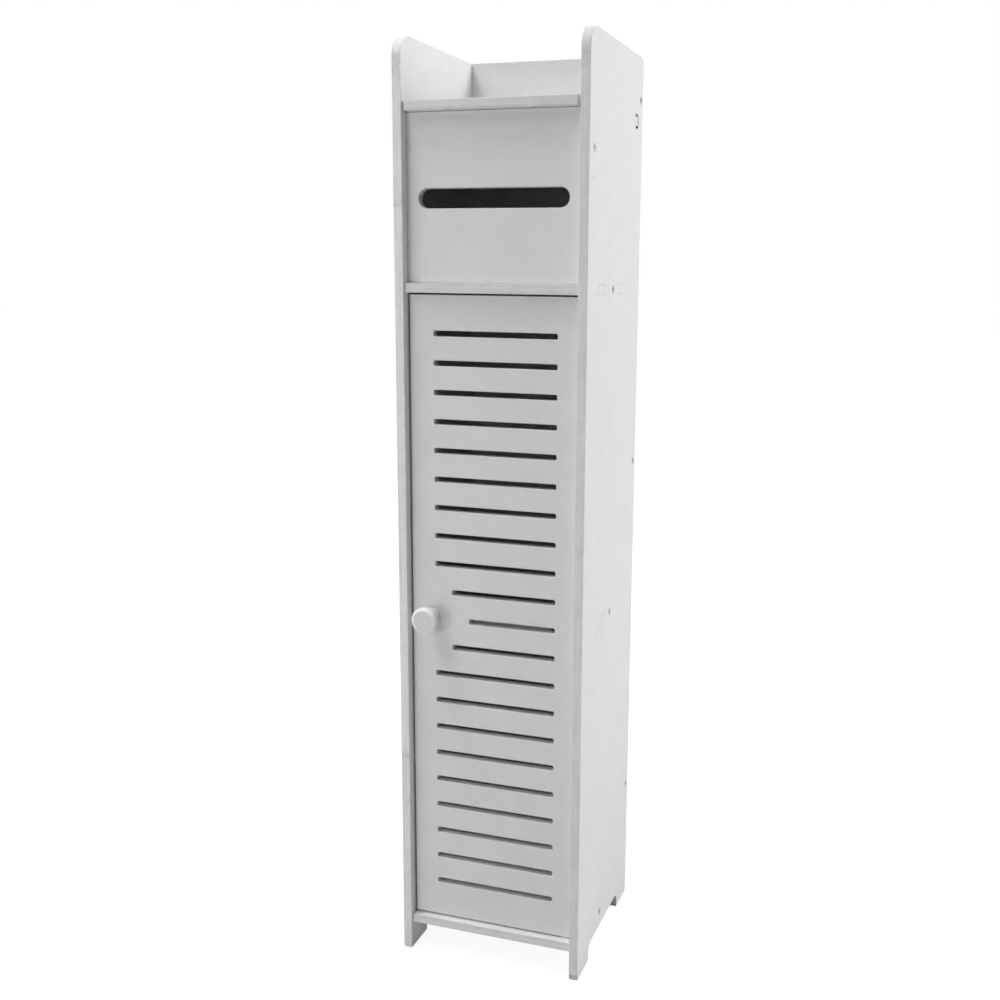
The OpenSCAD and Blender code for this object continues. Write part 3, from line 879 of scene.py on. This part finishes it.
doorShape = {"ease": 0.6 * mm, "corner": 0.8 * mm, "slots": 21, "pitch": 24.7 * mm, "slotHeight": 4.8 * mm,
             "slotRadius": 1.5 * mm, "slotEase": 0.5 * mm, "top": 29.5 * mm, "left": 21.5 * mm,
             "right": 17.5 * mm, "step": 15.5 * mm, "stepRows": 2}


def makeDoor():
    low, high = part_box("door")
    s = doorShape
    right = high[0] - s["right"]
    slots = []
    for i in range(s["slots"]):
        steps = max(0, s["stepRows"] - abs(i - s["slots"] // 2))  # slots are shortened beside the knob
        left = low[0] + s["left"] + steps * s["step"]
        height = high[2] - s["top"] - s["slotHeight"] / 2 - i * s["pitch"]
        slots.append(rectangle((left + right) / 2, height, right - left, s["slotHeight"], s["slotRadius"]))
    outline = upright(low, high, s["corner"])
    piece = cutBoard("doorPanel", "door", "front", outline, s["ease"], slots, s["slotEase"])
    dressBoard(piece, "door", "door", 9.0, panelShape["grain"])


makeDoor()
print("door ready")

knobShape = {"headHeight": 6 * mm, "edge": 3.4 * mm, "backEdge": 1.8 * mm, "neckRadius": 5.5 * mm,
             "footRadius": 7.5 * mm, "footEdge": 0.4 * mm, "footShare": 0.25, "dish": 0.2 * mm,
             "dishMiddle": 0.12 * mm, "middleShare": 0.5, "rimShare": 0.75, "steps": 72}


def makeKnob():
    s = knobShape
    low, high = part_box("knob")
    spot = centre("knob")
    length, radius = high[1] - low[1], (high[0] - low[0]) / 2
    head = length - s["headHeight"]
    waist = head / 2
    hub = s["neckRadius"] + waist
    waistFrom = 180 + math.degrees(math.acos(min(1.0, (hub - s["footRadius"]) / waist)))
    foot = [(0, 0), (s["footRadius"] - s["footEdge"], 0), (s["footRadius"], s["footEdge"])]
    foot += [(s["footRadius"], waist * s["footShare"])]
    neck = arcPoints(hub, waist, waist, waistFrom, 100, 18)
    rear = arcPoints(radius - s["backEdge"], head + s["backEdge"], s["backEdge"], -78, 0, 8)
    front = arcPoints(radius - s["edge"], length - s["edge"], s["edge"], 0, 90, 12)
    face = [(radius * s["middleShare"], length - s["dishMiddle"]), (0, length - s["dish"])]
    profile = foot + neck + rear + front + face
    # rim value 1 marks the head's rounded edge, where the knob's painted highlight goes
    rims = [1.0 if r > radius - s["edge"] * s["rimShare"] else 0.0 for r, _ in profile]
    piece = turned("knobBody", profile, (spot.x, high[1], spot.z), (0, -1, 0), s["steps"], rims)
    piece.data.materials.append(finish["knob"])
    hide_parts("knob")
    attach(piece, "door")


pinShape = {"chamfer": 0.5 * mm, "steps": 40}


def makePin(node, name):
    low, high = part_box(node)
    spot = centre(node)
    chamfer = pinShape["chamfer"]
    flat, length = (high[0] - low[0]) / 2 - chamfer, high[2] - low[2]
    profile = [(0, 0), (flat, 0)] + arcPoints(flat, chamfer, chamfer, -90, 0, 5)
    profile += arcPoints(flat, length - chamfer, chamfer, 0, 90, 5) + [(0, length)]
    piece = turned(name, profile, (spot.x, spot.y, low[2]), (0, 0, 1), pinShape["steps"])
    # the near-black pin finish is painted shade of the gap it stands in
    piece.data.materials.append(finish["pin"])
    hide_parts(node)
    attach(piece, "door")


washerShape = {"holeRadius": 2.2 * mm, "edge": 0.45 * mm, "steps": 48}


def makeWasher():
    low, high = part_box("door_washer")
    spot = centre("door_washer")
    s, r = washerShape, washerShape["edge"]
    inner, outer = s["holeRadius"] + r, (high[0] - low[0]) / 2 - r
    top = high[2] - low[2] - r
    profile = []
    for hubR, hubH, start in ((inner, r, 180), (outer, r, -90), (outer, top, 0), (inner, top, 90)):
        profile += arcPoints(hubR, hubH, r, start, start + 90, 4)
    piece = turned("pivotWasher", profile, (spot.x, spot.y, low[2]), (0, 0, 1), s["steps"], closed=True)
    piece.data.materials.append(finish["washer"])
    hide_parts("door_washer")
    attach(piece, "cabinet")


makeKnob()
makePin("door_pin_upper", "upperPin")
makePin("door_pin_lower", "lowerPin")
makeWasher()
print("knob and pivots ready")

screwShape = {"headRadius": 3.2 * mm, "headHeight": 1.9 * mm, "sink": 0.2 * mm, "rim": 0.18 * mm,
              "rimTaper": 0.02 * mm, "shankRadius": 1.5 * mm, "length": 25 * mm, "armLength": 3.6 * mm,
              "armWidth": 0.9 * mm, "recess": 1.1 * mm, "lip": 0.08 * mm, "lipDepth": 0.1 * mm,
              "floorArm": 0.55, "floorWidth": 0.6, "steps": 48}
knobScrewShape = dict(screwShape, headRadius=3.9 * mm, headHeight=0.78 * mm, sink=0.0, shankRadius=1.95 * mm,
                      length=20.6 * mm, recess=0.6 * mm)

screwTwists = {"first": 17, "each": 31, "side": 9, "back": [8, 52, 73], "knob": [20]}  # degrees


def crossPoints(reach, half):
    corners = [(reach, -half), (reach, half), (half, half)]
    points = []
    for quarter in range(4):
        c, n = math.cos(quarter * math.pi / 2), math.sin(quarter * math.pi / 2)
        points += [Vector((x * c - y * n, x * n + y * c)) for x, y in corners]
    return points


def screwMesh(mesh, origin, axis, twist, s):
    # a countersunk head with a tapered cross recess; axis points out of the board
    turn = Vector(axis).to_track_quat("Z", "Y").to_matrix() @ Matrix.Rotation(math.radians(twist), 3, "Z")

    def row(points, height):
        return [mesh.verts.new(Vector(origin) + turn @ Vector((x, y, height))) for x, y in points]

    def circle(radius):
        return ring(0, 0, radius, s["steps"])

    def wall(a, b):
        return [mesh.faces.new((a[i - 1], a[i], b[i], b[i - 1])) for i in range(len(a))]

    top = -s["sink"]
    reach, half = s["armLength"] / 2, s["armWidth"] / 2
    headCircle = circle(s["headRadius"] - s["rim"])
    lipCross = crossPoints(reach + s["lip"], half + s["lip"])
    tip = row([(0, 0)], -s["length"])[0]
    shankLow = row(circle(s["shankRadius"]), 2 * s["shankRadius"] - s["length"])
    shankHigh = row(circle(s["shankRadius"]), top - s["headHeight"])
    edgeLow = row(circle(s["headRadius"] - s["rimTaper"]), top - s["rim"])
    edgeHigh = row(headCircle, top)
    for i in range(s["steps"]):
        mesh.faces.new((tip, shankLow[i], shankLow[i - 1]))
    for lower, upper in ((shankLow, shankHigh), (shankHigh, edgeLow), (edgeLow, edgeHigh)):
        wall(lower, upper)
    lip = row(lipCross, top)
    mouth = row(crossPoints(reach, half), top - s["lipDepth"])
    floor = row(crossPoints(reach * s["floorArm"], half * s["floorWidth"]), top - s["recess"])
    wall(lip, mouth)
    # the recess walls and floor take the near-black recess material: painted shade
    for face in wall(mouth, floor) + [mesh.faces.new(floor)]:
        face.material_index = 1
    verts = edgeHigh + lip
    for trio in tessellate_polygon([[p.to_3d() for p in points] for points in (headCircle, lipCross)]):
        mesh.faces.new([verts[i] for i in trio])


def makeScrews(node, name, spots, axis, body, shape, twists):
    mesh = bmesh.new()
    for spot, twist in zip(spots, twists):
        screwMesh(mesh, spot, axis, twist, shape)
    bmesh.ops.recalc_face_normals(mesh, faces=mesh.faces)
    piece = finishMesh(name, mesh)
    piece.data.materials.append(finish["steel"])
    piece.data.materials.append(finish["recess"])
    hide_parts(node)
    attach(piece, body)


def makeSideScrews(side, sign):
    turns = screwTwists
    for index, name in enumerate(joinery["sideScrews"]):
        spot = centre(f"{name}_{side}")
        place = (sign * outerFace, spot.y, spot.z)
        makeScrews(f"{name}_{side}", f"{name}_{side}_head", [place], (sign, 0, 0), "cabinet", screwShape,
                   [turns["first"] + turns["each"] * index + turns["side"] * sign])
    spots = [(sign * outerFace, centre("back_panel").y, height) for height in joinery["backScrewHeights"]]
    makeScrews(f"back_panel_screws_{side}", f"back_panel_screws_{side}_heads", spots, (sign, 0, 0),
               "cabinet", screwShape, turns["back"])


def makeKnobScrew():
    spot, rear = centre("knob_screw"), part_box("knob_screw")[1][1]
    makeScrews("knob_screw", "knobScrew", [(spot.x, rear, spot.z)], (0, 1, 0), "door", knobScrewShape,
               screwTwists["knob"])


makeSideScrews("left", -1)
makeSideScrews("right", 1)
makeKnobScrew()
print("screws ready")

studio = {
    "worldStrength": 0.15,
    "floorColour": (0.50, 0.50, 0.50, 1),
    "floorShade": (0.22, 0.22, 0.22, 1),
    "floorGlow": 0.90,
    "glowFade": (0.25, 0.9),
    "floorHalf": 12.0,
    "floorDrop": 0.2 * mm,
    "aim": (0, 0, 0.42),
    "lamps": [
        {"name": "rightLamp", "azimuth": 105, "elevation": 30, "distance": 2.4, "size": 0.6, "power": 27.2},
        {"name": "sideLamp", "azimuth": 95, "elevation": 20, "distance": 2.4, "size": 0.6, "power": 9.2},
        {"name": "leftLamp", "azimuth": -60, "elevation": 68, "distance": 2.4, "size": 0.6, "power": 23.3},
        {"name": "frontLamp", "azimuth": -40, "elevation": 50, "distance": 2.4, "size": 1.2, "power": 12.9},
        {"name": "backLamp", "azimuth": -150, "elevation": 35, "distance": 2.4, "size": 1.2, "power": 16.1},
        {"name": "lowFill", "azimuth": -20, "elevation": 0, "distance": 1.0, "size": 0.41, "power": 2.1,
         "outsideOnly": True},
    ],
    "insidePieces": ["backPanel", "innerShelf"],
}
white = (1, 1, 1, 1)


def whiteForView(tree):
    path = addNode(tree, "ShaderNodeLightPath").outputs
    some = mathNode(tree, "MAXIMUM", path["Is Camera Ray"], path["Is Glossy Ray"])
    return mathNode(tree, "MAXIMUM", some, path["Is Transmission Ray"])


def mixForView(tree, lit, seen, output):
    # lit is what lights the cabinet, seen is what shows to the camera and in reflections
    mix = addNode(tree, "ShaderNodeMixShader", {0: whiteForView(tree), 1: lit, 2: seen})
    tree.links.new(mix.outputs[0], tree.nodes[output].inputs["Surface"])


def makeWorld():
    world = bpy.data.worlds.new("studioWorld")
    bpy.context.scene.world = world
    world.use_nodes = True
    tree = world.node_tree
    lit = tree.nodes["Background"]
    feed(tree, lit, {"Color": white, "Strength": studio["worldStrength"]})
    seen = addNode(tree, "ShaderNodeBackground", {"Color": white, "Strength": 1.0})
    mixForView(tree, lit.outputs[0], seen.outputs[0], "World Output")


def paleFloor():
    material, tree, plain = blankMaterial("paleFloor")
    tree.nodes.remove(plain)
    bounce = addNode(tree, "ShaderNodeBsdfDiffuse", {"Color": studio["floorColour"]})
    shown = addNode(tree, "ShaderNodeBsdfDiffuse", {"Color": studio["floorShade"]})
    away = vectorMath(tree, "LENGTH", {0: objectPlace(tree)}, "Value")
    fade = mapRange(tree, away, *studio["glowFade"], studio["floorGlow"], 1.0, smooth=True)
    glow = addNode(tree, "ShaderNodeEmission", {"Color": white, "Strength": fade})
    both = addNode(tree, "ShaderNodeAddShader", {0: shown.outputs[0], 1: glow.outputs[0]})
    mixForView(tree, bounce.outputs[0], both.outputs[0], "Material Output")
    return material


def makeFloor():
    half, drop = studio["floorHalf"], studio["floorDrop"]
    data = bpy.data.meshes.new("studioFloor")
    corners = [(x * half, y * half, -drop) for x, y in ((-1, -1), (1, -1), (1, 1), (-1, 1))]
    data.from_pydata(corners, [], [(0, 1, 2, 3)])
    data.materials.append(paleFloor())
    floor = bpy.data.objects.new("studioFloor", data)
    bpy.context.collection.objects.link(floor)


def makeInside():
    # boards seen through the slots, which the low fill leaves out so that the slots read as dark
    inside = bpy.data.collections.new("insideOfCabinet")
    for name in studio["insidePieces"]:
        inside.objects.link(bpy.data.objects[name])
    for entry in inside.collection_objects:
        entry.light_linking.link_state = "EXCLUDE"
    return inside


def makeLamp(spec, inside):
    light = bpy.data.lights.new(spec["name"], "AREA")
    light.shape = "SQUARE"
    light.size = spec["size"]
    light.energy = spec["power"]
    lamp = bpy.data.objects.new(spec["name"], light)
    bpy.context.collection.objects.link(lamp)
    azimuth, elevation = math.radians(spec["azimuth"]), math.radians(spec["elevation"])
    towards = Vector((math.sin(azimuth) * math.cos(elevation), -math.cos(azimuth) * math.cos(elevation),
                      math.sin(elevation)))
    lamp.location = Vector(studio["aim"]) + towards * spec["distance"]
    lamp.rotation_euler = (-towards).to_track_quat("-Z", "Y").to_euler()
    lamp.visible_camera = False
    if spec.get("outsideOnly"):
        lamp.light_linking.receiver_collection = inside
        lamp.visible_glossy = False


viewpoint = {"place": (0.35115, -0.98061, 0.61519), "yaw": 18.105, "down": 10.717, "roll": 0.564,
             "lens": 42.53, "sensor": 36, "nearest": 0.02,
             "shift": (-0.0518, -0.0066)}  # the framing of a view cropped left of its middle


def makeCamera():
    yaw, down, roll = [math.radians(viewpoint[k]) for k in ("yaw", "down", "roll")]
    ahead = Vector((-math.sin(yaw) * math.cos(down), math.cos(yaw) * math.cos(down), -math.sin(down)))
    right = Vector((math.cos(yaw), math.sin(yaw), 0))
    up = right.cross(ahead)
    tiltedRight = right * math.cos(roll) + up * math.sin(roll)
    tiltedUp = -right * math.sin(roll) + up * math.cos(roll)
    camera = bpy.data.objects.new("photoCamera", bpy.data.cameras.new("photoCamera"))
    bpy.context.collection.objects.link(camera)
    camera.data.sensor_width = viewpoint["sensor"]
    camera.data.sensor_fit = "HORIZONTAL"
    camera.data.lens = viewpoint["lens"]
    camera.data.shift_x, camera.data.shift_y = viewpoint["shift"]
    camera.data.clip_start = viewpoint["nearest"]
    turn = Matrix((tiltedRight, tiltedUp, -ahead)).transposed().to_4x4()
    camera.matrix_world = Matrix.Translation(viewpoint["place"]) @ turn
    bpy.context.scene.camera = camera


makeWorld()
makeFloor()
insideOfCabinet = makeInside()
for lampSpec in studio["lamps"]:
    makeLamp(lampSpec, insideOfCabinet)
makeCamera()
bpy.context.scene.view_settings.view_transform = "Standard"
print("studio ready")
